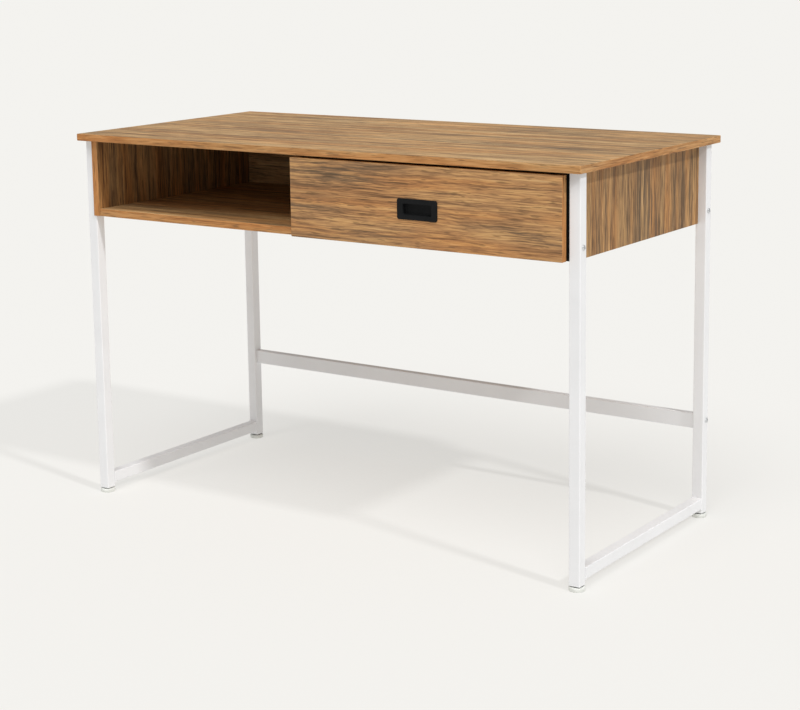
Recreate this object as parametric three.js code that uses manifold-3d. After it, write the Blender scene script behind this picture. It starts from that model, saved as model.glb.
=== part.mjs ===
// Writing desk: white square-tube side frames, a wood-decor top and apron box,
// an open shelf bay on the left and one drawer on roller runners on the right.
// Millimetres. +X runs along the desk to the right, the user sits at -Y, +Z is up.
// The origin is on the floor, in the middle of the footprint.

import * as THREE from 'three';
import { mergeVertices } from 'three/addons/utils/BufferGeometryUtils.js';
import Module from 'manifold-3d';

const wasm = await Module();
wasm.setup();

// ---- driving dimensions ----
const LENGTH = 1170;
const DEPTH = 560;
const HEIGHT = 760;
const TOP_THICKNESS = 14;
const BOARD = 15;
const APRON_DEPTH = 155;
const TUBE = 22;
const TUBE_WALL = 1.5;
const SIDE_OVERHANG = 9.5;
const FRONT_OVERHANG = 17;
const BACK_OVERHANG = 21;
const GAP = 0.3;

const SHELF_SHARE = 0.4733;
const HOUSING = 5.5;
const FRONT_LIP = 1.8;
const DRAWER_SETBACK = 2;
const DRAWER_FRONT = 14.5;
const DRAWER_TOP_GAP = 3.5;
const DRAWER_END_GAP = 4.8;

const FOOT_RADIUS = 15;
const FOOT_HEIGHT = 8;
const FOOT_OUT = 2;
const RAIL_LIFT = 18.5;
const STRETCHER_HEIGHT = 30;
const STRETCHER_THICKNESS = 15;
const STRETCHER_BASE = 180;
const BOLT_RADIUS = 3;
const LEG_BOLT_LIFT = 25;

// ---- planes worked out from them ----
const underTop = HEIGHT - TOP_THICKNESS;
const apronBase = underTop - APRON_DEPTH;
const legOuter = LENGTH / 2 - SIDE_OVERHANG;
const legInner = legOuter - TUBE;
const legFront = -DEPTH / 2 + FRONT_OVERHANG;
const legBack = DEPTH / 2 - BACK_OVERHANG;
const legBase = FOOT_HEIGHT + FOOT_OUT;
const panelOuter = legInner + HOUSING;
const panelInner = panelOuter - BOARD;
const backFace = legBack - TUBE - GAP;
const backInner = backFace - BOARD;
const floorTop = apronBase + BOARD;
const dividerLeft = -panelInner + SHELF_SHARE * 2 * panelInner - BOARD / 2;
const dividerRight = dividerLeft + BOARD;
const drawerFace = -DEPTH / 2 + DRAWER_SETBACK;
const drawerFrontBack = drawerFace + DRAWER_FRONT;
const boardTop = underTop - GAP;

// ---- finishes ----
const finish = (color, roughness, metalness = 0) =>
  new THREE.MeshStandardMaterial({ color, roughness, metalness });
const decorFlat = finish(0xa27a50, 0.55);
const decorUpright = finish(0x94704c, 0.55);
const backBoardDecor = finish(0x8a7350, 0.6);
const drawerDecor = finish(0xb59a78, 0.6);
const whitePowder = finish(0xeeeeee, 0.45, 0.1);
const palePlastic = finish(0xd9dbd8, 0.5);
const darkPlastic = finish(0x2a2a2a, 0.6);
const blackPull = finish(0x1d1f22, 0.5, 0.2);
const zincSteel = finish(0xa9abad, 0.35, 0.9);
const runnerSteel = finish(0xdedfdc, 0.4, 0.3);
const nylon = finish(0xece9e0, 0.5);
const beech = finish(0xd2ad7c, 0.7);

const desk = new THREE.Group();

// ---- shape helpers ----
function add(name, geometry, material) {
  const mesh = new THREE.Mesh(geometry, material);
  mesh.name = name;
  desk.add(mesh);
  return mesh;
}

function block(x0, x1, y0, y1, z0, z1) {
  const shape = new THREE.BoxGeometry(x1 - x0, y1 - y0, z1 - z0);
  return shape.translate((x0 + x1) / 2, (y0 + y1) / 2, (z0 + z1) / 2);
}

// An extrusion of a plan outline in XY, from z0 up to z1.
function upright(shape, z0, z1) {
  const solid = new THREE.ExtrudeGeometry(shape, {
    depth: z1 - z0,
    bevelEnabled: false,
    curveSegments: 3,
  });
  return solid.translate(0, 0, z0);
}

// An extrusion of an outline drawn in XZ, from y0 back to y1.
function lengthwise(shape, y0, y1) {
  const solid = upright(shape, -y1, -y0);
  return solid.rotateX(Math.PI / 2);
}

// An extrusion of an outline drawn in YZ, from x0 to x1.
function crosswise(shape, x0, x1) {
  const solid = upright(shape, x0, x1);
  const turn = new THREE.Matrix4().makeBasis(
    new THREE.Vector3(0, 1, 0),
    new THREE.Vector3(0, 0, 1),
    new THREE.Vector3(1, 0, 0),
  );
  return solid.applyMatrix4(turn);
}

function outline(points) {
  return new THREE.Shape(points.map(([u, v]) => new THREE.Vector2(u, v)));
}

function roundedRectangle(u0, u1, v0, v1, r, Kind = THREE.Shape) {
  const s = new Kind();
  s.moveTo(u0 + r, v0);
  s.lineTo(u1 - r, v0);
  s.absarc(u1 - r, v0 + r, r, -Math.PI / 2, 0);
  s.lineTo(u1, v1 - r);
  s.absarc(u1 - r, v1 - r, r, 0, Math.PI / 2);
  s.lineTo(u0 + r, v1);
  s.absarc(u0 + r, v1 - r, r, Math.PI / 2, Math.PI);
  s.lineTo(u0, v0 + r);
  s.absarc(u0 + r, v0 + r, r, Math.PI, 1.5 * Math.PI);
  return s;
}

// The section of a square or oblong steel tube, with its bore.
function tubeSection(u0, u1, v0, v1) {
  const outerRadius = 2;
  const boreRadius = 1;
  const section = roundedRectangle(u0, u1, v0, v1, outerRadius);
  const w = TUBE_WALL;
  section.holes.push(roundedRectangle(u0 + w, u1 - w, v0 + w, v1 - w, boreRadius, THREE.Path));
  return section;
}

// A turned piece: profile points are [radius, distance along the axis].
function turned(profile, segments = 16) {
  return new THREE.LatheGeometry(
    profile.map(([r, t]) => new THREE.Vector2(r, t)),
    segments,
  );
}

// The turned piece's axis is laid along +Z, +X or +Y, starting at the given point.
function alongZ(geometry, x, y, z) {
  return geometry.rotateX(Math.PI / 2).translate(x, y, z);
}

function alongX(geometry, x, y, z) {
  return geometry.rotateZ(-Math.PI / 2).translate(x, y, z);
}

function alongY(geometry, x, y, z) {
  return geometry.translate(x, y, z);
}

function rod(radius, length, segments = 16) {
  return turned([[0, 0], [radius, 0], [radius, length], [0, length]], segments);
}

// ---- joining and cutting closed solids ----
function toSolid(geometry) {
  const bare = geometry.clone();
  bare.deleteAttribute('normal');
  bare.deleteAttribute('uv');
  const merged = mergeVertices(bare, 1e-4);
  return new wasm.Manifold(
    new wasm.Mesh({
      numProp: 3,
      vertProperties: new Float32Array(merged.attributes.position.array),
      triVerts: new Uint32Array(merged.index.array),
    }),
  );
}

function toGeometry(solid) {
  const made = solid.getMesh();
  const geometry = new THREE.BufferGeometry();
  geometry.setAttribute('position', new THREE.BufferAttribute(made.vertProperties, 3));
  geometry.setIndex(new THREE.BufferAttribute(made.triVerts, 1));
  geometry.computeVertexNormals();
  return geometry;
}

function cut(body, tools) {
  let result = toSolid(body);
  for (const tool of tools) {
    result = result.subtract(toSolid(tool));
  }
  return toGeometry(result);
}

function join(pieces) {
  let result = toSolid(pieces[0]);
  for (const piece of pieces.slice(1)) {
    result = result.add(toSolid(piece));
  }
  return toGeometry(result);
}

function mirrorX(geometry) {
  const flipped = geometry.clone().scale(-1, 1, 1);
  const bare = mergeIndex(flipped);
  const index = bare.index.array;
  for (let i = 0; i < index.length; i += 3) {
    [index[i], index[i + 1]] = [index[i + 1], index[i]];
  }
  bare.computeVertexNormals();
  return bare;
}

function mergeIndex(geometry) {
  geometry.deleteAttribute('normal');
  geometry.deleteAttribute('uv');
  return mergeVertices(geometry, 1e-4);
}

// Right-hand shapes are drawn at +X; the left-hand ones are their mirror images.
function bySide(side, geometry) {
  return side === 'left' ? mirrorX(geometry) : geometry;
}

const SIDES = ['left', 'right'];
const ENDS = ['front', 'back'];
const legStart = { front: legFront, back: legBack - TUBE };
const legCentreX = legOuter - TUBE / 2;
const legCentreY = (end) => legStart[end] + TUBE / 2;

// ---- wooden dowels that locate the top on the boards below it ----
const DOWEL_RADIUS = 4;
const DOWEL_LENGTH = 28;
const DOWEL_IN_TOP = 9;
const dowelInset = 70;
const panelCentreX = (panelOuter + panelInner) / 2;
const dividerCentreX = (dividerLeft + dividerRight) / 2;
const dowels = [
  ['dowel_left_front', -panelCentreX, legFront + dowelInset],
  ['dowel_left_back', -panelCentreX, backInner - dowelInset],
  ['dowel_middle_front', dividerCentreX, legFront + dowelInset],
  ['dowel_middle_back', dividerCentreX, backInner - dowelInset],
  ['dowel_right_front', panelCentreX, legFront + dowelInset],
  ['dowel_right_back', panelCentreX, backInner - dowelInset],
];

function dowelHole(x, y) {
  const base = underTop + DOWEL_IN_TOP - DOWEL_LENGTH - GAP;
  return alongZ(rod(DOWEL_RADIUS + GAP, DOWEL_LENGTH + 2 * GAP, 12), x, y, base);
}

// ---- top and apron box ----
const TOP_CORNER = 3;
const topPlan = roundedRectangle(-LENGTH / 2, LENGTH / 2, -DEPTH / 2, DEPTH / 2, TOP_CORNER);
add(
  'tabletop',
  cut(upright(topPlan, underTop, HEIGHT), dowels.map(([, x, y]) => dowelHole(x, y))),
  decorFlat,
);

// Each side panel is let over its two legs. On the shelf side a thin front lip
// covers the leg's inner corner; on the drawer side the edge stays behind the leg's face.
const NUT_RADIUS = 5;
const NUT_LENGTH = 7.4;
const nutPocketDepth = NUT_LENGTH + 2 * GAP;
const legBoltZ = apronBase + LEG_BOLT_LIFT;
const rightPanelSetback = 4;
const housingFloor = legInner - GAP;

function sidePanel(side) {
  const backEdge = legBack;
  const frontHousing = [
    [housingFloor, legFront - GAP],
    [housingFloor, legFront + TUBE + GAP],
    [panelOuter, legFront + TUBE + GAP],
  ];
  const backHousing = [
    [panelOuter, legBack - TUBE - GAP],
    [housingFloor, legBack - TUBE - GAP],
    [housingFloor, backEdge],
  ];
  const lip = [
    [panelInner, legFront - FRONT_LIP],
    [panelOuter, legFront - FRONT_LIP],
    [panelOuter, legFront - GAP],
    ...frontHousing,
  ];
  const plain = [
    [panelInner, legFront + rightPanelSetback],
    [housingFloor, legFront + rightPanelSetback],
    ...frontHousing.slice(1),
  ];
  const plan = outline([...(side === 'left' ? lip : plain), ...backHousing, [panelInner, backEdge]]);
  const pockets = ENDS.map((end) =>
    alongX(
      rod(NUT_RADIUS + GAP, nutPocketDepth + 1),
      housingFloor - nutPocketDepth,
      legCentreY(end),
      legBoltZ,
    ),
  );
  const holes = dowels
    .filter(([name]) => name.startsWith('dowel_right'))
    .map(([, x, y]) => dowelHole(x, y));
  return bySide(side, cut(upright(plan, apronBase, boardTop), [...pockets, ...holes]));
}
for (const side of SIDES) {
  add(`side_panel_${side}`, sidePanel(side), decorUpright);
}

const innerSpan = panelInner - GAP;
add(
  'bottom_board',
  block(-innerSpan, innerSpan, legFront, backInner - GAP, apronBase, floorTop),
  decorFlat,
);
add(
  'back_board',
  block(-innerSpan, innerSpan, backInner, backFace, apronBase, boardTop),
  backBoardDecor,
);
add(
  'divider',
  cut(
    block(dividerLeft, dividerRight, legFront, backInner - GAP, floorTop + GAP, boardTop),
    dowels.filter(([name]) => name.startsWith('dowel_middle')).map(([, x, y]) => dowelHole(x, y)),
  ),
  decorUpright,
);
for (const [name, x, y] of dowels) {
  const pin = rod(DOWEL_RADIUS, DOWEL_LENGTH, 12);
  add(name, alongZ(pin, x, y, underTop + DOWEL_IN_TOP - DOWEL_LENGTH), beech);
}

// ---- steel side frames ----
const stretcherBack = legBack;
const stretcherFront = stretcherBack - STRETCHER_THICKNESS;
const stretcherY = (stretcherBack + stretcherFront) / 2;
const stretcherBoltZ = STRETCHER_BASE + STRETCHER_HEIGHT / 2 + 3;
const boltHole = BOLT_RADIUS + GAP;

function leg(end) {
  const y0 = legStart[end];
  const tube = upright(tubeSection(legInner, legOuter, y0, y0 + TUBE), legBase, boardTop);
  const through = TUBE + 4;
  const holes = [alongX(rod(boltHole, through), legInner - 2, legCentreY(end), legBoltZ)];
  if (end === 'back') {
    holes.push(alongX(rod(boltHole, through), legInner - 2, stretcherY, stretcherBoltZ));
  }
  return cut(tube, holes);
}

// A foot is screwed into a plug in the leg's end, and stands a little way out of it.
const STUD_RADIUS = 4;
const STUD_LENGTH = 24;
const PLUG_HEIGHT = 20;
const plugHalf = TUBE / 2 - TUBE_WALL - GAP;

function levellingFoot(x, y) {
  const rim = 1.5;
  const profile = [
    [0, 0],
    [FOOT_RADIUS - rim, 0],
    [FOOT_RADIUS - 0.4, 0.5],
    [FOOT_RADIUS, rim],
    [FOOT_RADIUS, FOOT_HEIGHT - rim],
    [FOOT_RADIUS - 0.6, FOOT_HEIGHT - 0.4],
    [FOOT_RADIUS - rim, FOOT_HEIGHT],
    [STUD_RADIUS, FOOT_HEIGHT],
    [STUD_RADIUS, FOOT_HEIGHT + STUD_LENGTH - 1],
    [STUD_RADIUS - 1, FOOT_HEIGHT + STUD_LENGTH],
    [0, FOOT_HEIGHT + STUD_LENGTH],
  ];
  return alongZ(turned(profile, 24), x, y, 0);
}

function legPlug(x, y) {
  const plan = roundedRectangle(x - plugHalf, x + plugHalf, y - plugHalf, y + plugHalf, 1);
  const bore = new THREE.Path();
  bore.absarc(x, y, STUD_RADIUS + GAP, 0, 2 * Math.PI, true);
  plan.holes.push(bore);
  return new THREE.ExtrudeGeometry(plan, {
    depth: PLUG_HEIGHT,
    bevelEnabled: false,
    curveSegments: 8,
  }).translate(0, 0, legBase);
}

const HEAD_RADIUS = 5;
const HEAD_HEIGHT = 2.4;

// A button-head bolt that points inwards: its head rests on the leg's outer face.
function bolt(length) {
  return turned([
    [0, 0],
    [BOLT_RADIUS, 0],
    [BOLT_RADIUS, length],
    [HEAD_RADIUS, length],
    [HEAD_RADIUS, length + 0.8],
    [HEAD_RADIUS - 1.2, length + HEAD_HEIGHT - 0.5],
    [HEAD_RADIUS - 2.6, length + HEAD_HEIGHT],
    [0, length + HEAD_HEIGHT],
  ]);
}

const headFace = legOuter + GAP;
const legBoltLength = headFace - (housingFloor - NUT_LENGTH + 0.5);

function insertNut(end) {
  const bore = BOLT_RADIUS + GAP;
  const sleeve = turned([
    [bore, 0],
    [NUT_RADIUS, 0],
    [NUT_RADIUS, NUT_LENGTH],
    [bore, NUT_LENGTH],
    [bore, 0],
  ]);
  return alongX(sleeve, housingFloor - GAP - NUT_LENGTH, legCentreY(end), legBoltZ);
}

for (const side of SIDES) {
  for (const end of ENDS) {
    const y = legCentreY(end);
    add(`leg_${end}_${side}`, bySide(side, leg(end)), whitePowder);
    add(`foot_${end}_${side}`, bySide(side, levellingFoot(legCentreX, y)), palePlastic);
    add(`leg_plug_${end}_${side}`, bySide(side, legPlug(legCentreX, y)), darkPlastic);
    const legBolt = alongX(bolt(legBoltLength), headFace - legBoltLength, y, legBoltZ);
    add(`leg_bolt_${end}_${side}`, bySide(side, legBolt), zincSteel);
    add(`insert_nut_${end}_${side}`, bySide(side, insertNut(end)), zincSteel);
  }
  const railSection = tubeSection(legInner, legOuter, RAIL_LIFT, RAIL_LIFT + TUBE);
  const rail = lengthwise(railSection, legFront + TUBE + GAP, legBack - TUBE - GAP);
  add(`floor_rail_${side}`, bySide(side, rail), whitePowder);
}

const stretcherSection = tubeSection(
  stretcherFront,
  stretcherBack,
  STRETCHER_BASE,
  STRETCHER_BASE + STRETCHER_HEIGHT,
);
const stretcherEnd = legInner - GAP;
add('back_stretcher', crosswise(stretcherSection, -stretcherEnd, stretcherEnd), whitePowder);

// A threaded block in each end of the stretcher takes the bolt that passes the back leg.
const BLOCK_LENGTH = 16;
const blockInset = 2;
const stretcherBoltLength = headFace - (stretcherEnd - blockInset - BLOCK_LENGTH + 2);
for (const side of SIDES) {
  const margin = TUBE_WALL + GAP;
  const body = block(
    stretcherEnd - blockInset - BLOCK_LENGTH,
    stretcherEnd - blockInset,
    stretcherFront + margin,
    stretcherBack - margin,
    STRETCHER_BASE + margin,
    STRETCHER_BASE + STRETCHER_HEIGHT - margin,
  );
  const boreStart = stretcherEnd - blockInset - BLOCK_LENGTH - 1;
  const bore = alongX(rod(boltHole, BLOCK_LENGTH + 2), boreStart, stretcherY, stretcherBoltZ);
  add(`stretcher_block_${side}`, bySide(side, cut(body, [bore])), darkPlastic);
  const pin = bolt(stretcherBoltLength);
  const placed = alongX(pin, headFace - stretcherBoltLength, stretcherY, stretcherBoltZ);
  add(`stretcher_bolt_${side}`, bySide(side, placed), zincSteel);
}

// ---- drawer ----
const BOX_BOARD = 12;
const RUNNER_SPACE = 12.5;
const DRAWER_LENGTH = 400;
const boxBase = floorTop + 14;
const boxTop = boxBase + 105;
const boxLeft = dividerRight + RUNNER_SPACE;
const boxRight = panelInner - RUNNER_SPACE;
const boxFront = drawerFrontBack + GAP;
const boxBack = boxFront + DRAWER_LENGTH;
const boxCentre = (boxLeft + boxRight) / 2;
const boxHalf = (boxRight - boxLeft) / 2;
const frontLeft = dividerLeft - 0.5;
const frontRight = legInner - DRAWER_END_GAP;
const frontTop = underTop - DRAWER_TOP_GAP;

const PULL_WIDTH = 87;
const PULL_OFFSET = -5;
const PULL_HEIGHT = 38.5;
const PULL_CORNER = 4;
const PULL_PROUD = 1.8;
const POCKET_WIDTH = 62;
const POCKET_HEIGHT = 20;
const POCKET_DEPTH = 11;
const CUP_WALL = 1.6;
const BOSS_RADIUS = 4;
const BOSS_LENGTH = 8;
const pullX = (frontLeft + frontRight) / 2 + PULL_OFFSET;
const pullZ = apronBase + 70.5;
const bossOffset = 38.5;
const screwRadius = 1.6;

const cupHalfWidth = POCKET_WIDTH / 2 + CUP_WALL;
const cupHalfHeight = POCKET_HEIGHT / 2 + CUP_WALL;
const cupBack = drawerFace + POCKET_DEPTH - PULL_PROUD + CUP_WALL;

function aroundPull(halfWidth, halfHeight, y0, y1) {
  return block(pullX - halfWidth, pullX + halfWidth, y0, y1, pullZ - halfHeight, pullZ + halfHeight);
}

function pullBore(radius, y0, y1, side) {
  return alongY(rod(radius, y1 - y0, 16), pullX + side * bossOffset, y0, pullZ);
}

const frontBlank = block(frontLeft, frontRight, drawerFace, drawerFrontBack, apronBase, frontTop);
const pullCuts = [aroundPull(cupHalfWidth + GAP, cupHalfHeight + GAP, drawerFace - 1, cupBack + GAP)];
for (const side of [-1, 1]) {
  pullCuts.push(
    pullBore(BOSS_RADIUS + GAP, drawerFace - 1, drawerFace + BOSS_LENGTH + GAP, side),
    pullBore(screwRadius + GAP, drawerFace, drawerFrontBack + 1, side),
  );
}
add('drawer_front', cut(frontBlank, pullCuts), decorFlat);

const plateShape = roundedRectangle(
  pullX - PULL_WIDTH / 2,
  pullX + PULL_WIDTH / 2,
  pullZ - PULL_HEIGHT / 2,
  pullZ + PULL_HEIGHT / 2,
  PULL_CORNER,
);
const plateFace = drawerFace - PULL_PROUD;
const plateBack = drawerFace - GAP;
const plate = lengthwise(plateShape, plateFace, plateBack);
const cup = aroundPull(cupHalfWidth, cupHalfHeight, plateBack - 0.2, cupBack);
const bosses = [-1, 1].map((side) =>
  pullBore(BOSS_RADIUS, plateBack - 0.2, drawerFace + BOSS_LENGTH, side),
);
const pocket = aroundPull(
  POCKET_WIDTH / 2,
  POCKET_HEIGHT / 2,
  plateFace - 1,
  plateFace + POCKET_DEPTH,
);
const bossBores = [-1, 1].map((side) =>
  pullBore(screwRadius + GAP, drawerFace + 0.6, drawerFace + BOSS_LENGTH + 1, side),
);
add('drawer_pull', cut(join([plate, cup, ...bosses]), [pocket, ...bossBores]), blackPull);

for (const [side, name] of [[-1, 'left'], [1, 'right']]) {
  const tip = drawerFace + 2;
  const shank = drawerFrontBack + GAP - tip;
  const screw = turned(
    [[0, 0], [screwRadius, 0], [screwRadius, shank], [4, shank], [3.4, shank + 2.2], [0, shank + 2.2]],
    16,
  );
  add(`pull_screw_${name}`, alongY(screw, pullX + side * bossOffset, tip, pullZ), zincSteel);
}

// The drawer sides carry a groove for the thin bottom; the back stands on that bottom.
const GROOVE_LIFT = 9;
const BOTTOM_THICKNESS = 5;
const GROOVE_DEPTH = 6;
const grooveBase = boxBase + GROOVE_LIFT;
const grooveTop = grooveBase + BOTTOM_THICKNESS + 2 * GAP;

function drawerSide(right) {
  const outer = boxHalf;
  const inner = boxHalf - BOX_BOARD;
  const groove = inner + GROOVE_DEPTH;
  const section = outline([
    [outer, boxBase],
    [outer, boxTop],
    [inner, boxTop],
    [inner, grooveTop],
    [groove, grooveTop],
    [groove, grooveBase],
    [inner, grooveBase],
    [inner, boxBase],
  ]);
  const board = lengthwise(section, boxFront, boxBack);
  return (right ? board : mirrorX(board)).translate(boxCentre, 0, 0);
}
add('drawer_side_left', drawerSide(false), drawerDecor);
add('drawer_side_right', drawerSide(true), drawerDecor);

const backSpan = boxHalf - BOX_BOARD - GAP;
add(
  'drawer_back',
  block(
    boxCentre - backSpan,
    boxCentre + backSpan,
    boxBack - BOX_BOARD,
    boxBack,
    grooveTop,
    boxTop,
  ),
  drawerDecor,
);
const bottomSpan = boxHalf - BOX_BOARD + GROOVE_DEPTH - GAP;
add(
  'drawer_bottom',
  block(
    boxCentre - bottomSpan,
    boxCentre + bottomSpan,
    boxFront,
    boxBack,
    grooveBase + GAP,
    grooveBase + GAP + BOTTOM_THICKNESS,
  ),
  drawerDecor,
);

// ---- roller runners ----
// Drawn for a runner space that ends at local u = 0 (the cabinet wall) and starts at
// u = -RUNNER_SPACE (the drawer side).
const SHEET = 1.2;
const ROLLER_RADIUS = 11.5;
const ROLLER_WIDTH = 6;
const AXLE_RADIUS = 2.5;
const railLow = boxBase + 0.5;
const railHigh = railLow + 33;
const flangeLow = boxBase + 27;
const cabinetStart = legFront + 6;
const drawerRollerZ = railLow + SHEET + GAP + ROLLER_RADIUS;
const cabinetRollerZ = flangeLow - GAP - ROLLER_RADIUS;
const cabinetRollerY = cabinetStart + ROLLER_RADIUS + 2;
const drawerRollerY = boxBack - ROLLER_RADIUS - 3;
const wheelStart = -RUNNER_SPACE + SHEET + 3 * GAP;

function cabinetRunner() {
  const wall = -GAP;
  const web = wall - SHEET;
  const reach = -RUNNER_SPACE + SHEET + 2 * GAP;
  const section = outline([
    [wall, railLow],
    [wall, railHigh],
    [reach, railHigh],
    [reach, railHigh - SHEET],
    [web, railHigh - SHEET],
    [web, railLow + SHEET],
    [reach, railLow + SHEET],
    [reach, railLow],
  ]);
  const channel = lengthwise(section, cabinetStart, cabinetStart + DRAWER_LENGTH);
  const axle = rod(AXLE_RADIUS, web + 0.2 - wheelStart, 16);
  return join([channel, alongX(axle, wheelStart, cabinetRollerY, cabinetRollerZ)]);
}

function drawerRunner() {
  const face = -RUNNER_SPACE + GAP;
  const web = face + SHEET;
  const flangeReach = wheelStart + ROLLER_WIDTH;
  const under = boxBase - GAP;
  const section = outline([
    [face - 10, under - SHEET],
    [web, under - SHEET],
    [web, flangeLow],
    [flangeReach, flangeLow],
    [flangeReach, flangeLow + SHEET],
    [face, flangeLow + SHEET],
    [face, under],
    [face - 10, under],
  ]);
  const angle = lengthwise(section, boxFront, boxBack);
  const axle = rod(AXLE_RADIUS, ROLLER_WIDTH + GAP, 16);
  return join([angle, alongX(axle, web - 0.2, drawerRollerY, drawerRollerZ)]);
}

function roller(y, z) {
  const bore = AXLE_RADIUS + GAP;
  const groove = 0.5;
  const wheel = turned(
    [
      [bore, 0],
      [ROLLER_RADIUS - groove, 0],
      [ROLLER_RADIUS, groove],
      [ROLLER_RADIUS, ROLLER_WIDTH - groove],
      [ROLLER_RADIUS - groove, ROLLER_WIDTH],
      [bore, ROLLER_WIDTH],
      [bore, 0],
    ],
    24,
  );
  return alongX(wheel, wheelStart, y, z);
}

const runnerPieces = [
  ['cabinet_runner', cabinetRunner, runnerSteel],
  ['drawer_runner', drawerRunner, runnerSteel],
  ['cabinet_roller', () => roller(cabinetRollerY, cabinetRollerZ), nylon],
  ['drawer_roller', () => roller(drawerRollerY, drawerRollerZ), nylon],
];
for (const [name, make, material] of runnerPieces) {
  add(`${name}_right`, make().translate(panelInner, 0, 0), material);
  add(`${name}_left`, mirrorX(make()).translate(dividerRight, 0, 0), material);
}

export default desk;
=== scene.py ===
# %% [markdown]
# # A writing desk in rustic oak decor on a white steel frame
# The desk is melamine-faced board on two welded side frames of square tube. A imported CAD
# model is the fixed frame: it says where every board, tube and fastener lies, in metres.
# Each visible piece is modelled here again with the rounded edges, edge bands, weld beads
# and threads that the CAD solids leave out, and it takes its place from the CAD node that
# it stands for, so nothing is fitted by eye.

# %% Load the frame
import math

import bmesh
import bpy
from mathutils import Matrix, Vector


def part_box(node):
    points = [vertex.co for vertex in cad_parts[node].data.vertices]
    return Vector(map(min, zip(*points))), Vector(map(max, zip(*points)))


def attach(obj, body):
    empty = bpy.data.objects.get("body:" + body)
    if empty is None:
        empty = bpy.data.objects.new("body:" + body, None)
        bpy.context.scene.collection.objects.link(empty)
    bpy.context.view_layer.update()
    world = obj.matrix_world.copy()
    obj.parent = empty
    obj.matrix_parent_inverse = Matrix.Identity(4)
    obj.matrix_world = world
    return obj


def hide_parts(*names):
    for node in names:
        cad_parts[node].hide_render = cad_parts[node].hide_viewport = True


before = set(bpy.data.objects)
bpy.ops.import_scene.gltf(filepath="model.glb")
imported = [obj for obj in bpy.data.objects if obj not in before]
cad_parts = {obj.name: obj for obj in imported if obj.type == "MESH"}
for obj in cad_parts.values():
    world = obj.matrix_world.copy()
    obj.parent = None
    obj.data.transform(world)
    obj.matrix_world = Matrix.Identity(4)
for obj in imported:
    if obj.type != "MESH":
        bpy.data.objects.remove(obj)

MM = 0.001
TOUCH = 0.01 * MM  # places nearer than this are the same place
X, Y, Z = 0, 1, 2
AXES = (X, Y, Z)
ENDS = ("front", "back")
SIDES = {"left": -1, "right": 1}
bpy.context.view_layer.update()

# %% [markdown]
# ## Camera
# The desk is seen from its right front corner, a little above the top. A view camera would be
# held level and its lens shifted down, which keeps the legs parallel. Here the shift is only
# as large as the framing needs and the camera is tilted for the rest, so the legs converge
# very slightly, and the desk stays in the frame from every other side too.

# %% Place the camera
SENSOR_WIDTH = 36.0
LENS = 82.035
CAMERA_PLACE = Vector((2.0618, -2.9637, 1.1327))
YAW = math.radians(34.558)
PITCH = math.radians(9.681)
ROLL = math.radians(-0.802)
SHIFT_DOWN = 0.125

level_ahead = Vector((-math.sin(YAW), math.cos(YAW), 0))
forward = level_ahead * math.cos(PITCH) - Vector((0, 0, math.sin(PITCH)))
level_right = Vector((math.cos(YAW), math.sin(YAW), 0))
level_up = level_right.cross(forward)
camera_right = level_right * math.cos(ROLL) + level_up * math.sin(ROLL)
camera_up = camera_right.cross(forward)
turn = Matrix((camera_right, camera_up, -forward)).transposed().to_4x4()

camera = bpy.data.objects.new("view_camera", bpy.data.cameras.new("view_camera"))
bpy.context.scene.collection.objects.link(camera)
camera.matrix_world = Matrix.Translation(CAMERA_PLACE) @ turn
camera.data.sensor_width = SENSOR_WIDTH
camera.data.lens = LENS
camera.data.shift_y = -SHIFT_DOWN
bpy.context.scene.camera = camera
print(f"lens {LENS:.1f} mm on a {SENSOR_WIDTH:.0f} mm sensor")

# %% [markdown]
# ## Nodes and colours
# Every material below is built from nodes in code. One helper adds a node with its settings
# and links, so a material reads as a list of steps. Hex colours are written the way a paint
# card gives them, in sRGB, and one function turns them linear, as Blender mixes light.


# %% Node and colour helpers
def linear(hex_colour):
    """An sRGB hex colour as the linear RGBA that Blender works in."""
    channels = [int(hex_colour[i:i + 2], 16) / 255 for i in (1, 3, 5)]
    return (*[c / 12.92 if c <= 0.04045 else ((c + 0.055) / 1.055) ** 2.4 for c in channels], 1.0)


def add_node(tree, kind, inputs=(), stops=(), output=0, **settings):
    """Adds a node, sets it up and gives back one of its outputs. inputs are values or sockets, in
    the node's own order, or by name or number. stops are a ramp's (position, hex colour) pairs."""
    made = tree.nodes.new(f"ShaderNode{kind}")
    for key, value in settings.items():
        setattr(made, key, value)
    for place, value in (inputs if isinstance(inputs, dict) else dict(enumerate(inputs))).items():
        if isinstance(value, bpy.types.NodeSocket):
            tree.links.new(value, made.inputs[place])
        else:
            made.inputs[place].default_value = value
    if stops:
        elements = made.color_ramp.elements
        while len(elements) < len(stops):
            elements.new(0.5)
        for element, (position, colour) in zip(elements, stops):
            element.position = position
            element.color = linear(colour)
    return made.outputs[output]


def start_material(name, **shader_values):
    """A new material with its shader's uniform values set on the shader's own sockets."""
    material = bpy.data.materials.new(name)
    material.use_nodes = True
    tree = material.node_tree
    shader = tree.nodes["Principled BSDF"]
    for key, value in shader_values.items():
        shader.inputs[key.replace("_", " ")].default_value = value
    return material, tree, shader


white = linear("#ffffff")
print("white is", white)

# %% [markdown]
# Every pattern is made of noise layers. A layer's patches have a real size in millimetres
# along each axis, so a long, thin size gives grain. Noise lies between 0 and 1 and is mostly
# near its middle, 0.5, so layers are added by how far each one is from there. It seldom leaves
# 0.3 to 0.7, so limits in that range pick out how rare a streak or a pore is.

# %% Noise layers
MIDDLE = 0.5
SMOOTH = {"interpolation_type": "SMOOTHSTEP"}
COLOUR_MIX = {"output": 2, "data_type": "RGBA"}


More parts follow.
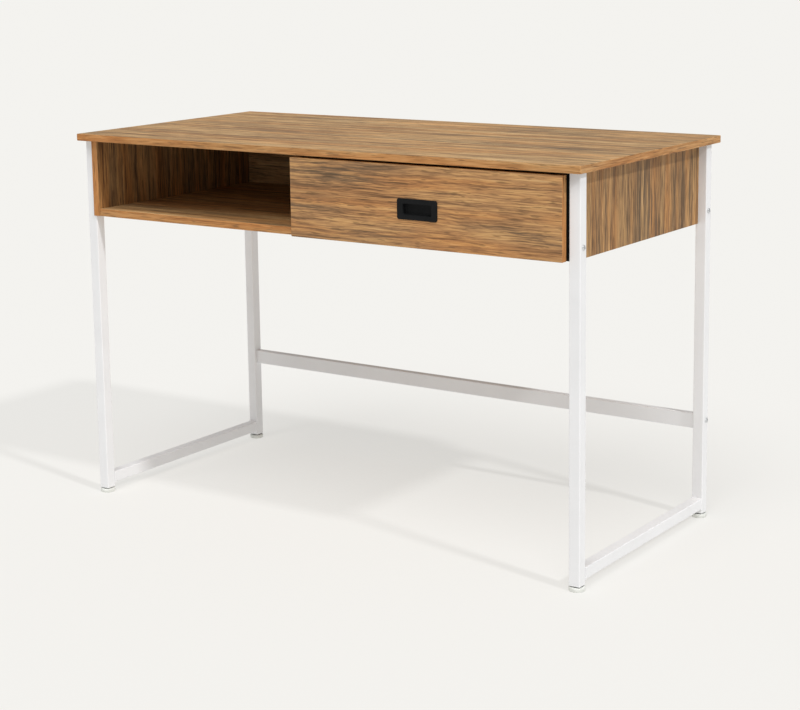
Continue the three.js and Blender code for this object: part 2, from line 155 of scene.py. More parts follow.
def noise_layer(tree, place, size_mm, seed=0.0, detail=2.0, roughness=0.5):
    """Noise whose patches measure size_mm along X, Y and Z. The seed moves it elsewhere."""
    stretched = add_node(tree, "Mapping", {
        "Vector": place, "Location": (seed, 2.3 * seed, 0.7 * seed),
        "Scale": tuple(1 / (MM * size) for size in size_mm)})
    return add_node(tree, "TexNoise", {
        "Vector": stretched, "Scale": 1.0, "Detail": detail, "Roughness": roughness})


def total(tree, value, *weighted):
    """value plus each (layer, weight), with every layer counted from its middle."""
    for layer, weight in weighted:
        offset = add_node(tree, "Math", (layer, MIDDLE), operation="SUBTRACT")
        value = add_node(tree, "Math", (offset, weight, value), operation="MULTIPLY_ADD")
    return value


def grain_sizes(grain, along, across):
    """A layer's size with its long measure along the grain axis."""
    return [along if axis == grain else across for axis in AXES]


print("a streak along X:", grain_sizes(X, 300, 12), "mm")

# %% [markdown]
# ## Rustic oak decor
# The boards are chipboard faced with melamine paper: an oak pattern is printed on paper,
# soaked in resin and pressed on a plate that leaves shallow pores. It could be an image, but
# noise stretched along the grain gives the same look at any size and has no repeat. Real oak
# varies at four scales: broad boards of colour, streaks about a finger wide, fibres, and
# short dark pores. The printed fibres and pores are finer than a millimetre; here they are
# drawn two millimetres wide, as coarse as they need to be to show. Fibres also wander: the
# place that a pattern reads is pushed across the grain by a slow wave of a few millimetres.

# %% The oak's scales
BOARD_MM = (420, 70)
TINT_MM = (380, 34)
FIBRE_MM = (70, 2.4)
PORE_MM = (34, 2.6)
WAVE_MM = (110, 30)
WAVE_SEED = 3.1
WAVE_REACH = 3 * MM


def wavy_place(tree, place, grain):
    """The place, pushed a little across the grain."""
    wave = noise_layer(tree, place, grain_sizes(grain, *WAVE_MM), WAVE_SEED, detail=1.0)
    push = add_node(tree, "Math", (wave, 2 * WAVE_REACH, -WAVE_REACH), operation="MULTIPLY_ADD")
    shove = add_node(tree, "CombineXYZ", {axis: push for axis in AXES if axis != grain})
    return add_node(tree, "VectorMath", (place, shove), operation="ADD")


print("fibres wander by", 1000 * WAVE_REACH, "mm")

# %% [markdown]
# Rustic oak shows grey-brown heartwood in two ways. Long faint streaks run all over it, and a
# few darker patches lie where a knot was near. The streaks are one more noise layer. A patch
# is a soft block with a centre and a half width along each axis, and two things keep it from
# looking like a stamp: it drifts sideways along its length, and the streaks break it up.

# %% Heartwood
HEART_MM = (560, 26)
DRIFT_MM = 420
DRIFT_REACH = 20 * MM
PATCH_CORE = 0.2


def heart_patch(tree, parts, spans, strength):
    """How strongly one patch shows. spans are (axis, centre, half width) in metres."""
    mask = strength
    for axis, centre, half_width in spans:
        away = add_node(tree, "Math", (parts[axis], centre), operation="SUBTRACT")
        away = add_node(tree, "Math", (away,), operation="ABSOLUTE")
        fade = add_node(tree, "MapRange", (away, PATCH_CORE * half_width, half_width, 1.0, 0.0), **SMOOTH)
        mask = add_node(tree, "Math", (fade, mask), operation="MULTIPLY")
    return mask


def heartwood(tree, place, wavy, grain, seed, streak, fibre, dark_share, patches):
    """How strongly heartwood shows, from 0 to 1, in streaks and in the patches asked for."""
    heart = noise_layer(tree, wavy, grain_sizes(grain, *HEART_MM), seed, detail=4.0, roughness=0.65)
    heart = total(tree, heart, (fibre, 0.35))
    mask = add_node(tree, "MapRange", (heart, 0.54, 0.72, 0.0, dark_share), **SMOOTH)
    wander = noise_layer(tree, place, [DRIFT_MM] * 3, seed + 1, detail=1.0)
    drift = add_node(tree, "Math", (wander, 2 * DRIFT_REACH, -DRIFT_REACH), operation="MULTIPLY_ADD")
    parts = list(add_node(tree, "SeparateXYZ", (wavy,)).node.outputs)
    for axis in AXES:
        if axis != grain:
            parts[axis] = add_node(tree, "Math", (parts[axis], drift), operation="ADD")
    lines = total(tree, streak, (fibre, 0.5))
    broken = add_node(tree, "MapRange", (lines, 0.34, 0.62, 1.0, 0.15), **SMOOTH)
    for *spans, strength in patches:
        patch = heart_patch(tree, parts, spans, strength)
        patch = add_node(tree, "Math", (patch, broken), operation="MULTIPLY")
        mask = add_node(tree, "Math", (mask, patch), operation="MAXIMUM")
    return mask


print("heartwood streaks up to", HEART_MM[1], "mm wide")

# %% [markdown]
# The decor adds these layers up. The sum of boards, streaks and fibres picks a colour from a
# ramp, from the darkest fibre to the lightest. An orange tint warms it in places, heartwood
# greys it, and pores darken it last. Pressed melamine has a soft sheen, so light catches the
# fibres: they are a little smoother than the ground and stand a little above the pores.

# %% Oak decor material
WARM_TINT = "#ffdcb4"
HEARTWOOD_TONE = "#584e40"
PORE_TONE = "#54402b"
PRESSED_RELIEF = 0.2 * MM


def oak_decor(name, grain, stops, seed=0.0, streak_mm=(300, 12), contrast=1.85, warm_share=0.5,
              dark_share=0.35, patches=()):
    """Printed oak. streak_mm is the widest streaks' length and width, contrast how strongly they
    differ, warm_share how much of the tint shows, and dark_share how much of the heartwood."""
    material, tree, shader = start_material(name, IOR=1.36)
    place = add_node(tree, "TexCoord", output="Object")
    wavy = wavy_place(tree, place, grain)
    board = noise_layer(tree, place, grain_sizes(grain, *BOARD_MM), seed + 1)
    streak = noise_layer(tree, wavy, grain_sizes(grain, *streak_mm), seed + 2, detail=4.0, roughness=0.78)
    fibre = noise_layer(tree, wavy, grain_sizes(grain, *FIBRE_MM), seed + 3, roughness=0.6)
    pore = noise_layer(tree, wavy, grain_sizes(grain, *PORE_MM), seed + 4)
    tint = noise_layer(tree, place, grain_sizes(grain, *TINT_MM), seed + 5)

    tone = total(tree, MIDDLE, (board, 0.35), (streak, contrast), (fibre, 1.0))
    colour = add_node(tree, "ValToRGB", (tone,), stops)
    warm = add_node(tree, "MapRange", (tint, 0.4, 0.68, 0.0, warm_share), **SMOOTH)
    colour = add_node(tree, "Mix", {0: warm, 6: colour, 7: linear(WARM_TINT)}, blend_type="MULTIPLY",
                      **COLOUR_MIX)
    dark = heartwood(tree, place, wavy, grain, seed + 6, streak, fibre, dark_share, patches)
    colour = add_node(tree, "Mix", {0: dark, 6: colour, 7: linear(HEARTWOOD_TONE)}, **COLOUR_MIX)
    open_pore = add_node(tree, "MapRange", (pore, 0.56, 0.66, 0.0, 0.5), **SMOOTH)
    colour = add_node(tree, "Mix", {0: open_pore, 6: colour, 7: linear(PORE_TONE)}, **COLOUR_MIX)
    tree.links.new(colour, shader.inputs["Base Color"])

    sheen = add_node(tree, "MapRange", (fibre, 0.3, 0.7, 0.66, 0.54), **SMOOTH)
    tree.links.new(sheen, shader.inputs["Roughness"])
    height = total(tree, MIDDLE, (fibre, 0.8), (pore, -0.7))
    relief = add_node(tree, "Bump", {"Height": height, "Distance": PRESSED_RELIEF, "Strength": 0.5})
    tree.links.new(relief, shader.inputs["Normal"])
    return material


print("pressed relief", 1000 * PRESSED_RELIEF, "mm")

# %% [markdown]
# Each board has its own cut of the decor. The grain runs along the top, the drawer front and
# the inner boards, and stands upright on the side panels. The drawer front's cut has finer,
# calmer streaks. The upright boards' ramp is darker than the top's: partly the decor's own
# tone, partly painted shade that darkens the bay under the top. The edge bands are one warm
# tone with hardly any heartwood, and their grain runs along the band.

# %% The desk's decors
FACE_STOPS = (
    (0.08, "#5d4630"), (0.32, "#8e704e"), (0.5, "#b28d61"), (0.68, "#cba470"), (0.92, "#dcbb8a"))
FRONT_STOPS = (
    (0.08, "#5f4730"), (0.32, "#916c48"), (0.5, "#b4875a"), (0.68, "#c99a63"), (0.92, "#dab07a"))
# darker than FACE_STOPS: partly the decor's own tone, partly painted shade for the bay under the top
UPRIGHT_STOPS_WITH_PAINTED_SHADE = (
    (0.08, "#4d3b28"), (0.32, "#7c6043"), (0.5, "#a47f54"), (0.68, "#bd9360"), (0.92, "#d2aa7a"))
BAND_STOPS = ((0.1, "#885e39"), (0.35, "#a97948"), (0.55, "#bf8e59"), (0.85, "#d4a973"))
# a patch is an (axis, centre, half width) in metres for each axis that bounds it, and a strength
TOP_PATCHES = (
    ((X, 0.1, 1.0), (Y, -0.05, 0.03), 0.8),
    ((X, 0.3, 0.34), (Y, -0.056, 0.024), 0.9),
    ((X, -0.29, 0.2), (Y, 0.198, 0.045), 0.8),
    ((X, 0.25, 0.2), (Y, 0.18, 0.08), 0.7))
FRONT_PATCHES = (
    ((X, 0.06, 0.2), (Z, 0.715, 0.04), 0.6),
    ((X, 0.0, 0.12), (Z, 0.655, 0.02), 0.6),
    ((X, 0.12, 0.2), (Z, 0.606, 0.02), 0.5),
    ((X, 0.47, 0.16), (Z, 0.634, 0.016), 0.65))
UPRIGHT_PATCHES = (((Y, 0.02, 0.05), 0.7), ((Y, 0.2, 0.035), 0.6))
BAND_NAMES = ("along_length", "along_depth", "upright")

oak_top = oak_decor("melamine_oak_top", X, FACE_STOPS, patches=TOP_PATCHES)
oak_front = oak_decor("melamine_oak_drawer_front", X, FRONT_STOPS, 11.0, (150, 5), 1.5,
                      patches=FRONT_PATCHES)
oak_lengthwise = oak_decor("melamine_oak_lengthwise", X, FACE_STOPS, 30.0)
oak_upright_with_painted_shade = oak_decor("melamine_oak_upright", Z, UPRIGHT_STOPS_WITH_PAINTED_SHADE, 21.0, warm_share=0.6,
                        patches=UPRIGHT_PATCHES)
band = [oak_decor(f"oak_edge_band_{BAND_NAMES[grain]}", grain, BAND_STOPS, 40.0 + grain,
                  (120, 5), 1.0, 0.6, 0.1) for grain in AXES]
print("oak materials:", len(bpy.data.materials))

# %% [markdown]
# ## The other finishes
# Each one starts from what the real thing is. Powder coat is paint baked from dust: an even
# white with a satin skin, faintly dimpled like orange peel. The feet are moulded
# polyethylene, pale and waxy. The pull is black ABS from a spark-roughened mould, which gives
# it a dull, even grain. The black band in the gap beside the drawer front is painted shade,
# duller still. Bolts are zinc plated, bright and bluish. Runners are white-enamelled sheet,
# and rollers are nylon, creamy and soft. The dimples of paint are a millimetre or two wide.
# Mould grain is ten times finer, and it is drawn coarser than it is, so that it shows at all.


# %% Paint, plastic and metal materials
def grainy(name, dark, light, patch_mm, rough, relief_mm, grain_mm, **shader_values):
    """A plain finish: two close tones in soft patches, and a fine relief that varies the sheen."""
    material, tree, shader = start_material(name, **shader_values)
    place = add_node(tree, "TexCoord", output="Object")
    patches = noise_layer(tree, place, [patch_mm] * 3, 5.0, detail=3.0)
    colour = add_node(tree, "ValToRGB", (patches,), ((0.3, dark), (0.7, light)))
    tree.links.new(colour, shader.inputs["Base Color"])
    skin = noise_layer(tree, place, [grain_mm] * 3, 9.0)
    sheen = add_node(tree, "MapRange", (skin, 0.3, 0.7, rough - 0.05, rough + 0.05), **SMOOTH)
    tree.links.new(sheen, shader.inputs["Roughness"])
    relief = add_node(tree, "Bump", {"Height": skin, "Distance": relief_mm * MM, "Strength": 0.6})
    tree.links.new(relief, shader.inputs["Normal"])
    return material


white_powder = grainy("white_powder_coated_steel", "#ebebec", "#efeff0", 60, 0.42, 0.02, 1.6, IOR=1.45)
foot_plastic = grainy("moulded_polyethylene_foot", "#dcded8", "#e7e8e3", 9, 0.34, 0.03, 1.2, IOR=1.51)
pull_plastic = grainy("spark_grained_black_abs", "#121314", "#191a1b", 14, 0.55, 0.04, 0.7, IOR=1.2)
# painted shade: a black band that stands in for the deep shadow in the gap beside the drawer front
painted_gap_shade = grainy("painted_shade_edge_band", "#0d0d0d", "#131313", 20, 0.6, 0.02, 1.0, IOR=1.3)
plug_plastic = grainy("moulded_black_nylon", "#1c1c1d", "#262627", 8, 0.55, 0.04, 0.9, IOR=1.53)
zinc = grainy("zinc_plated_steel", "#d3d5d6", "#e2e3e4", 5, 0.3, 0.02, 0.6, Metallic=0.85)
sheet_enamel = grainy("white_enamelled_sheet_steel", "#dcddda", "#e6e7e4", 30, 0.38, 0.02, 1.4, IOR=1.5)
nylon = grainy("moulded_natural_nylon", "#e0ddd2", "#ece9e0", 6, 0.45, 0.03, 0.9, IOR=1.53)
print("finishes so far:", len(bpy.data.materials))

# %% [markdown]
# The drawer box is board wrapped in printed foil, paler and calmer than the oak, with its
# grain along each board. The dowels are turned beech. Both are one streak layer and one fibre
# layer over a short ramp, and the foil's slight grain is pressed in with the print.

# %% Foil and beech
FOIL_STOPS = ((0.2, "#8f7350"), (0.5, "#b3966f"), (0.8, "#cbb08a"))
BEECH_STOPS = ((0.2, "#b98d5c"), (0.5, "#d2ab79"), (0.8, "#e2c094"))
PLAIN_STREAK_MM = (160, 6)
PLAIN_FIBRE_MM = (30, 1.6)
PLAIN_RELIEF = 0.1 * MM


def plain_wood(name, grain, stops, seed):
    """A pale printed or turned wood, softer than the boards' oak."""
    material, tree, shader = start_material(name, Roughness=0.6, IOR=1.5)
    place = add_node(tree, "TexCoord", output="Object")
    streak = noise_layer(tree, place, grain_sizes(grain, *PLAIN_STREAK_MM), seed, detail=3.0)
    fibre = noise_layer(tree, place, grain_sizes(grain, *PLAIN_FIBRE_MM), seed + 2)
    tone = total(tree, MIDDLE, (streak, 0.8), (fibre, 0.8))
    tree.links.new(add_node(tree, "ValToRGB", (tone,), stops), shader.inputs["Base Color"])
    relief = add_node(tree, "Bump", {"Height": fibre, "Distance": PLAIN_RELIEF, "Strength": 0.4})
    tree.links.new(relief, shader.inputs["Normal"])
    return material


drawer_foil = plain_wood("printed_foil_on_board", Y, FOIL_STOPS, 60.0)
back_foil = plain_wood("printed_foil_on_drawer_back", X, FOIL_STOPS, 62.0)
beech = plain_wood("turned_beech", Z, BEECH_STOPS, 70.0)
print("materials:", len(bpy.data.materials))

# %% [markdown]
# ## Tools for shaping
# A box is the start of most pieces here. What makes it look real is its edges: a real board
# has an edge band with a milled round of about a millimetre, and a tube has rolled corners.
# The tools are small functions around the bmesh operators. The rounds stay flat shaded: each
# is two to four narrow strips, which already read as a round, and smooth shading would blend
# the wide faces beside them into it.


# %% Shaping tools
ALONG = 0.999


def start_box(low, high):
    shape = bmesh.new()
    size = Vector(high) - Vector(low)
    place = Matrix.Translation((Vector(low) + Vector(high)) / 2) @ Matrix.Diagonal((*size, 1.0))
    bmesh.ops.create_cube(shape, size=1.0, matrix=place)
    return shape


def start_prism(rim, along):
    """An outline of a few points made one face and extruded into a closed solid."""
    shape = bmesh.new()
    shape.faces.new([shape.verts.new(point) for point in rim])
    made = bmesh.ops.extrude_face_region(shape, geom=shape.faces[:])["geom"]
    moved = [item for item in made if isinstance(item, bmesh.types.BMVert)]
    bmesh.ops.translate(shape, verts=moved, vec=along)
    bmesh.ops.recalc_face_normals(shape, faces=shape.faces)
    return shape


def edges_along(shape, axis):
    """The straight edges that run along one axis."""
    found = []
    for edge in shape.edges:
        run = edge.verts[1].co - edge.verts[0].co
        if abs(run[axis]) > ALONG * run.length:
            found.append(edge)
    return found


def round_over(shape, edges, radius, segments=2):
    bmesh.ops.bevel(shape, geom=edges, offset=radius, offset_type="OFFSET", segments=segments,
                    profile=0.5, affect="EDGES", material=-1, clamp_overlap=True)


trial = start_box((0, 0, 0), (1, 1, 1))
print("upright edges of a box:", len(edges_along(trial, Z)))
trial.free()

# %% [markdown]
# A finished bmesh becomes a piece: it gets its materials, rides on the body it moves with, and
# stands for the CAD nodes that it replaces. A turned piece is a profile spun about an axis.
# Small parts of one piece, such as a row of screws, are joined as separate shells.


# %% Finish, turn and join
MERGE = 0.005 * MM


def keep(shape, name, finishes, body, slot, *nodes):
    """Turns a finished shape into a piece that rides on a body and stands for CAD nodes."""
    mesh = bpy.data.meshes.new(name)
    shape.to_mesh(mesh)
    shape.free()
    for finish in finishes:
        mesh.materials.append(finish)
    piece = bpy.data.objects.new(name, mesh)
    bpy.context.scene.collection.objects.link(piece)
    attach(piece, body)
    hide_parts(*nodes)
    return piece


def turned(profile, centre, axis, steps):
    """A profile of (radius, distance along the axis) points spun a full turn about the axis."""
    shape = bmesh.new()
    outward = Vector((0, 0, 1)) if axis == X else Vector((1, 0, 0))
    along = Vector([float(i == axis) for i in AXES])
    points = [shape.verts.new(Vector(centre) + r * outward + t * along) for r, t in profile]
    line = [shape.edges.new(pair) for pair in zip(points, points[1:])]
    bmesh.ops.spin(shape, geom=points + line, cent=centre, axis=along, angle=2 * math.pi,
                   steps=steps, use_merge=True)
    bmesh.ops.remove_doubles(shape, verts=shape.verts, dist=MERGE)
    bmesh.ops.recalc_face_normals(shape, faces=shape.faces)
    return shape


def shade_turned(piece, limit):
    """Smooth shading, with an edge left sharp where it turns by more than limit degrees."""
    piece.data.shade_smooth()
    piece.data.set_sharp_from_angle(angle=math.radians(limit))


def add_shape(shape, other):
    """Joins another shape's faces into this one, as a separate shell in the same piece."""
    spare = bpy.data.meshes.new("spare")
    other.to_mesh(spare)
    other.free()
    shape.from_mesh(spare)
    bpy.data.meshes.remove(spare)


print("points merge within", 1000 * MERGE, "mm")

# %% [markdown]
# ## Boards
# A decor board has two faces with the print and four edges with a 1 mm band glued on. The
# bands run the length of their own edge, whatever the grain on the face does, and are rounded
# over where they meet the face: that round shows as a thin line along every edge. One function
# dresses any board: a face that looks along the thin axis is print, and each other face takes
# the band for the axis that it runs along.

# %% Dress a board in decor and bands
BAND_ROUND = 1.1 * MM
INNER_ROUND = 0.6 * MM
FACING = 0.9
PRINT = 0
FIRST_BAND = 1
# the material number of the painted shade on the right panel's front edge
PAINTED_SHADE_BAND = 4


def dress(shape, thin):
    """Gives each face the number of its material: the print, or the band along X, Y or Z."""
    edge_axes = [axis for axis in AXES if axis != thin]
    for face in shape.faces:
        sizes = [abs(n) for n in face.normal]
        if sizes[thin] > FACING:
            face.material_index = PRINT
        else:
            facing = max(edge_axes, key=lambda axis: sizes[axis])
            runs_along = sum(edge_axes) - facing
            face.material_index = FIRST_BAND + runs_along


def keep_board(shape, name, thin, decor, body, slot, node):
    shape.normal_update()
    dress(shape, thin)
    return keep(shape, name, [decor, *band, painted_gap_shade], body, slot, node)


print("finishes on a board:", 1 + len(band))

# %% [markdown]
# The top is one board with its four corners sanded to a small radius. The corners are rounded
# first and the rims of both faces after them, so the rim runs round the corner.

# %% Top
CORNER_ROUND = 3 * MM
top_low, top_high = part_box("tabletop")
top = start_box(top_low, top_high)
round_over(top, edges_along(top, Z), CORNER_ROUND, 4)
rims = [e for e in top.edges if abs(e.verts[0].co.z - e.verts[1].co.z) < TOUCH]
round_over(top, rims, BAND_ROUND)
keep_board(top, "top_board", Z, oak_top, "carcass", "decor_flat", "tabletop")
print("top", [round(v, 4) for v in top_high - top_low])

# %% [markdown]
# The side panels are let over the legs. Seen from above, each one has a rebate at both ends,
# as deep as the leg laps it. On the shelf side a thin lip of the panel covers the leg's inner
# corner; on the drawer side the panel stops a little behind the leg's face. The outline is
# drawn once for a right-hand panel, from the leg's box, and `side` mirrors it. The right
# panel's front edge gets painted shade, a black band, so that the gap beside the drawer front
# stays dark.

# %% Side panels
GAP = 0.3 * MM
PANEL_ROUND = 0.5 * MM


def side_panel(name, side):
    low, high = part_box(f"side_panel_{name}")
    outer, inner = (high.x, low.x) if side > 0 else (-low.x, -high.x)
    front_leg, back_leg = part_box(f"leg_front_{name}"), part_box(f"leg_back_{name}")
    leg_inner = min(abs(front_leg[0].x), abs(front_leg[1].x)) - GAP
    front_end, back_end = front_leg[1].y + GAP, back_leg[0].y - GAP
    rim = [(inner, low.y), (inner, high.y), (leg_inner, high.y), (leg_inner, back_end),
           (outer, back_end), (outer, front_end), (leg_inner, front_end)]
    if low.y < front_leg[0].y:
        lip_end = front_leg[0].y - GAP
        rim += [(leg_inner, lip_end), (outer, lip_end), (outer, low.y)]
    else:
        rim += [(leg_inner, low.y)]
    shape = start_prism([(side * u, v, low.z) for u, v in rim], (0, 0, high.z - low.z))
    ridges = [e for e in edges_along(shape, Z)
              if abs(e.verts[0].co.y - low.y) < TOUCH or abs(e.verts[0].co.x) > outer - TOUCH]
    lower_rim = [e for e in shape.edges if e.verts[0].co.z + e.verts[1].co.z < 2 * low.z + TOUCH]
    round_over(shape, ridges + lower_rim, PANEL_ROUND)
    piece = keep_board(shape, f"side_board_{name}", X, oak_upright_with_painted_shade, "carcass", "decor_upright",
                       f"side_panel_{name}")
    if side > 0:
        # painted shade: the right panel's front edge is made black to stand in for the shadow in the gap
        for face in piece.data.polygons:
            if face.normal.y < -FACING and face.center.y < front_end:
                face.material_index = PAINTED_SHADE_BAND
    return piece


for name, side in SIDES.items():
    piece = side_panel(name, side)
    print(piece.name, len(piece.data.polygons), "faces")

# %% [markdown]
# The bottom board, the divider and the back board are plain boards between the panels. Only
# the edges that show need a band and a round, but giving them to all of the edges costs
# nothing and keeps one rule for every board.

# %% Bottom, divider and back
INNER_BOARDS = (
    ("bottom_board", "shelf_board", Z, oak_lengthwise, "decor_flat"),
    ("divider", "divider_board", X, oak_upright_with_painted_shade, "decor_upright"),
    ("back_board", "rear_board", Y, oak_lengthwise, "back_board_decor"),
)
for node, name, thin, decor, slot in INNER_BOARDS:
    board = start_box(*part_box(node))
    round_over(board, board.edges[:], INNER_ROUND)
    piece = keep_board(board, name, thin, decor, "carcass", slot, node)
    print(piece.name, "thin along", "XYZ"[thin])

# %% [markdown]
# ## Drawer front
# The front is a board with a milled pocket that takes the pull's cup. A boolean would cut it,
# but four straight cuts through the board leave one face of exactly the pocket's outline, and
# extruding that face inwards keeps the mesh clean. Its upper edge is planed down a little, so
# that the dark line under the top shows from the front.

# %% Drawer front
POCKET_HALF = Vector((32.9 * MM, 0, 11.9 * MM))
REVEAL = 0.9 * MM

pull_low, pull_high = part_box("drawer_pull")
pull_middle = (pull_low + pull_high) / 2
front_low, front_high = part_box("drawer_front")
front_high.z -= REVEAL
front = start_box(front_low, front_high)
round_over(front, front.edges[:], BAND_ROUND)
for axis, way in ((X, Vector((1, 0, 0))), (Z, Vector((0, 0, 1)))):
    for sign in (-1, 1):
        cut = pull_middle.copy()
        cut[axis] += sign * POCKET_HALF[axis]
        bmesh.ops.bisect_plane(front, geom=front.verts[:] + front.edges[:] + front.faces[:],
                               plane_co=cut, plane_no=way)
opening = min((f for f in front.faces if f.normal.y < -FACING),
              key=lambda f: (f.calc_center_median() - pull_middle).length)
pocket_end = bmesh.ops.extrude_discrete_faces(front, faces=[opening])["faces"][0]
for vert in pocket_end.verts:
    vert.co.y = pull_high.y + GAP
keep_board(front, "front_board", Y, oak_front, "drawer", "decor_flat", "drawer_front")
print("drawer front", [round(v, 4) for v in front_high - front_low])

# %% [markdown]
# ## Drawer pull
# The pull is one moulding: a plate that lies on the front, with a finger pocket sunk in it
# and a cup behind. It grows out of one face, the pocket's mouth. The mouth's corners are
# rounded, its edges are extruded outwards to the plate's rim and back round the cup, and the
# mouth itself is pushed in with a little draft, so that the moulding would leave its tool.
# Every ring has the same number of points, so the walls between the rings are all quads.

# %% Drawer pull
MOUTH = Vector((31 * MM, 0, 10.2 * MM))
MOUTH_CORNER = 2.6 * MM
POCKET_DEPTH = 9.5 * MM
CUP_WALL = 1.6 * MM
POCKET_DRAFT = (0.97, 1, 0.93)
PLATE_ROUND = 0.9 * MM
MOUTH_ROUND = 0.6 * MM
FLOOR_ROUND = 1.2 * MM

plate_half = (pull_high - pull_low) / 2
plate_back = front_low.y - GAP
pull = bmesh.new()
corners = [(pull_middle.x + u * MOUTH.x, pull_low.y, pull_middle.z + v * MOUTH.z)
           for u, v in ((-1, -1), (1, -1), (1, 1), (-1, 1))]
mouth = pull.faces.new([pull.verts.new(corner) for corner in corners])
bmesh.ops.bevel(pull, geom=mouth.verts[:], offset=MOUTH_CORNER, segments=5, profile=0.5,
                affect="VERTICES", material=-1)
mouth = max(pull.faces, key=lambda face: face.calc_area())


def next_ring(edges, half, y):
    """Extrudes a ring of edges to a ring that reaches half across and lies at y."""
    made = bmesh.ops.extrude_edge_only(pull, edges=edges)["geom"]
    verts = [item for item in made if isinstance(item, bmesh.types.BMVert)]
    for axis, wanted in zip((X, Z), half):
        reach = max(v.co[axis] for v in verts) - pull_middle[axis]
        for vert in verts:
            vert.co[axis] = pull_middle[axis] + (vert.co[axis] - pull_middle[axis]) * wanted / reach
    for vert in verts:
        vert.co.y = y
    return [item for item in made if isinstance(item, bmesh.types.BMEdge)
            and all(v in verts for v in item.verts)]


mouth_rim = mouth.edges[:]
plate_reach = (plate_half.x, plate_half.z)
cup_half = (MOUTH.x + CUP_WALL, MOUTH.z + CUP_WALL)
plate_rim = next_ring(mouth_rim, plate_reach, pull_low.y)
plate_foot = next_ring(plate_rim, plate_reach, plate_back)
cup_top = next_ring(plate_foot, cup_half, plate_back)
cup_foot = next_ring(cup_top, cup_half, pull_high.y)
bmesh.ops.edgeloop_fill(pull, edges=cup_foot)
pocket_floor = bmesh.ops.extrude_discrete_faces(pull, faces=[mouth])["faces"][0]
bmesh.ops.translate(pull, vec=(0, POCKET_DEPTH, 0), verts=pocket_floor.verts[:])
bmesh.ops.scale(pull, vec=POCKET_DRAFT, verts=pocket_floor.verts[:],
                space=Matrix.Translation(-pull_middle))
bmesh.ops.recalc_face_normals(pull, faces=pull.faces)
floor_rim = pocket_floor.edges[:]
round_over(pull, plate_rim, PLATE_ROUND, 3)
round_over(pull, mouth_rim, MOUTH_ROUND)
round_over(pull, floor_rim, FLOOR_ROUND, 3)
pull.normal_update()
shade_turned(keep(pull, "moulded_pull", [pull_plastic], "drawer", "black_pull", "drawer_pull"), 35)
print("pull", [round(v * 1000, 1) for v in pull_high - pull_low], "mm")

# %% [markdown]
# ## Steel frames
# Each side frame is square tube with rolled corners: two legs and a floor rail welded between
# them. A box with its four long edges rounded gives the outside. Each end face is inset by the
# wall's thickness, the inner faces are taken away, and a bridge between the two loops makes
# the bore, so the ends are as open as sawn tube.

# %% Tubes
WALL = 1.5 * MM
ROLLED_CORNER = 1.7 * MM


def tube(low, high, axis):
    shape = start_box(low, high)
    round_over(shape, edges_along(shape, axis), ROLLED_CORNER, 4)
    shape.normal_update()
    ends = [f for f in shape.faces if abs(f.normal[axis]) > ALONG]
    bmesh.ops.inset_individual(shape, faces=ends, thickness=WALL, use_even_offset=True)
    loops = [edge for face in ends for edge in face.edges]
    bmesh.ops.delete(shape, geom=ends, context="FACES_ONLY")
    bmesh.ops.bridge_loops(shape, edges=loops)
    shape.normal_update()
    return shape


TUBES = [("back_stretcher", "steel_stretcher", X)]
for side in SIDES:
    TUBES.append((f"floor_rail_{side}", f"steel_floor_rail_{side}", Y))
    for end in ENDS:
        TUBES.append((f"leg_{end}_{side}", f"steel_leg_{end}_{side}", Z))
for node, name, axis in TUBES:
    piece = keep(tube(*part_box(node), axis), name, [white_powder], "carcass", "white_powder", node)
    print(piece.name, len(piece.data.polygons), "faces")

# %% [markdown]
# A weld bead runs round each rail where it meets its leg. It is a row of small overlapping
# ripples under the paint. A thin collar just proud of the rail, cut into short steps and
# pushed in and out by a wave that runs round it, reads as the same bead.

# %% Weld beads
BEAD_REACH = 0.9 * MM
BEAD_WIDTH = 2.4 * MM
RIPPLE = 0.22 * MM
RIPPLES_PER_METRE = 260
BEAD_STEPS = 20
SQUARE_ENOUGH = math.radians(60)


def weld_bead(rail, end):
    low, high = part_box(rail)
    joint_y = low.y - GAP if end == "front" else high.y + GAP
    inward = 1 if end == "front" else -1
    grow = Vector((BEAD_REACH, 0, BEAD_REACH))
    start, stop = low - grow, high + grow
    start.y, stop.y = sorted((joint_y, joint_y + inward * BEAD_WIDTH))
    shape = start_box(start, stop)
    bmesh.ops.subdivide_edges(shape, edges=edges_along(shape, X) + edges_along(shape, Z),
                              cuts=BEAD_STEPS, use_grid_fill=True)
    corners = [e for e in shape.edges if e.calc_face_angle(0) > SQUARE_ENOUGH]
    round_over(shape, corners, BEAD_REACH, 3)
    middle = (start + stop) / 2
    for vert in shape.verts:
        out = Vector((vert.co.x - middle.x, 0, vert.co.z - middle.z))
        wave = math.sin(RIPPLES_PER_METRE * 2 * math.pi * (vert.co.x + vert.co.z))
        vert.co += out.normalized() * RIPPLE * wave
    for face in shape.faces:
        face.smooth = True
    return shape


for side in SIDES:
    for end in ENDS:
        bead = weld_bead(f"floor_rail_{side}", end)
        piece = keep(bead, f"weld_bead_{end}_{side}", [white_powder], "carcass", "white_powder")
        print(piece.name, "on", f"floor_rail_{side}")

# %% [markdown]
# ## Feet
# Each foot is a round pad moulded on a threaded stud, and it screws into a plug in the leg's
# end. The pad is a spun profile: a flat tread, a small step above it where the mould parts, a
# soft upper rim and a shallow ring on top. The stud has an M8 thread. Rings at the pitch of
# the real thread look the same as a helix from any distance and stay clean to spin.

# %% Levelling feet
PAD_HEIGHT = 8 * MM
PAD_RIM = 1.8 * MM
RIM_STEPS = 4
RING_OUTER = 9 * MM
RING_INNER = 6 * MM
RING_SLOPE = 0.6 * MM
RING_DEPTH = 0.5 * MM
STUD_RADIUS = 4 * MM
THREAD_PITCH = 1.25 * MM
THREAD_DEPTH = 0.6 * MM
STUD_TIP = 1 * MM


